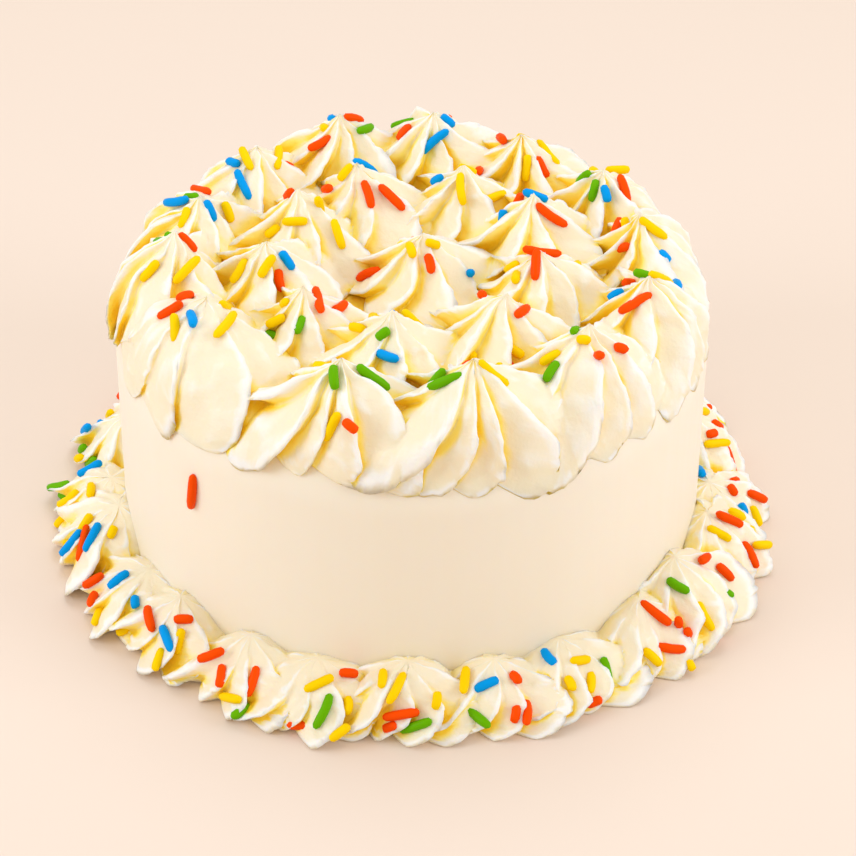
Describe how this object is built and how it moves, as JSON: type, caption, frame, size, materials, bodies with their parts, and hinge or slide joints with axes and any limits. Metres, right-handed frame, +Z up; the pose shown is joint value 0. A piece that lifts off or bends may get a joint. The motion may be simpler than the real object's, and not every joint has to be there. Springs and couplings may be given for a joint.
{
  "type": "whipped cream birthday cake without candles",
  "caption": "Round birthday cake: smooth ivory iced drum, piped cream stars crowding its top and ringing its foot, sugar strands on the stars; stands on its flat underside.",
  "frame": {"origin": "middle of the iced drum's flat underside, on the surface that the cake stands on", "axes": "+Z up along the drum's axis; -Y is the side that faces the camera"},
  "size_m": [0.1793, 0.1779, 0.0853],
  "materials": {
    "smooth_icing": "satin ivory whipped icing, scraped smooth",
    "piped_cream": "soft satin whipped cream, warmer in the valleys",
    "sugar_yellow": "satin sugar strand",
    "sugar_red": "satin sugar strand",
    "sugar_green": "satin sugar strand",
    "sugar_blue": "satin sugar strand"
  },
  "bodies": {
    "root": {"cake_body": "smooth_icing", "rim_star_01": "piped_cream", "rim_star_02": "piped_cream", "rim_star_03": "piped_cream", "rim_star_04": "piped_cream", "rim_star_05": "piped_cream", "rim_star_06": "piped_cream", "rim_star_07": "piped_cream", "rim_star_08": "piped_cream", "rim_star_09": "piped_cream", "rim_star_10": "piped_cream", "rim_star_11": "piped_cream", "rim_star_12": "piped_cream", "rim_star_13": "piped_cream", "ring_star_01": "piped_cream", "ring_star_02": "piped_cream", "ring_star_03": "piped_cream", "ring_star_04": "piped_cream", "ring_star_05": "piped_cream", "ring_star_06": "piped_cream", "ring_star_07": "piped_cream", "ring_star_08": "piped_cream", "ring_star_09": "piped_cream", "middle_star": "piped_cream", "foot_star_01": "piped_cream", "foot_star_02": "piped_cream", "foot_star_03": "piped_cream", "foot_star_04": "piped_cream", "foot_star_05": "piped_cream", "foot_star_06": "piped_cream", "foot_star_07": "piped_cream", "foot_star_08": "piped_cream", "foot_star_09": "piped_cream", "foot_star_10": "piped_cream", "foot_star_11": "piped_cream", "foot_star_12": "piped_cream", "foot_star_13": "piped_cream", "foot_star_14": "piped_cream", "foot_star_15": "piped_cream", "foot_star_16": "piped_cream", "foot_star_17": "piped_cream", "foot_star_18": "piped_cream", "foot_star_19": "piped_cream", "foot_star_20": "piped_cream", "foot_star_21": "piped_cream", "foot_star_22": "piped_cream", "foot_star_23": "piped_cream", "foot_star_24": "piped_cream"}
  },
  "joints": []
}
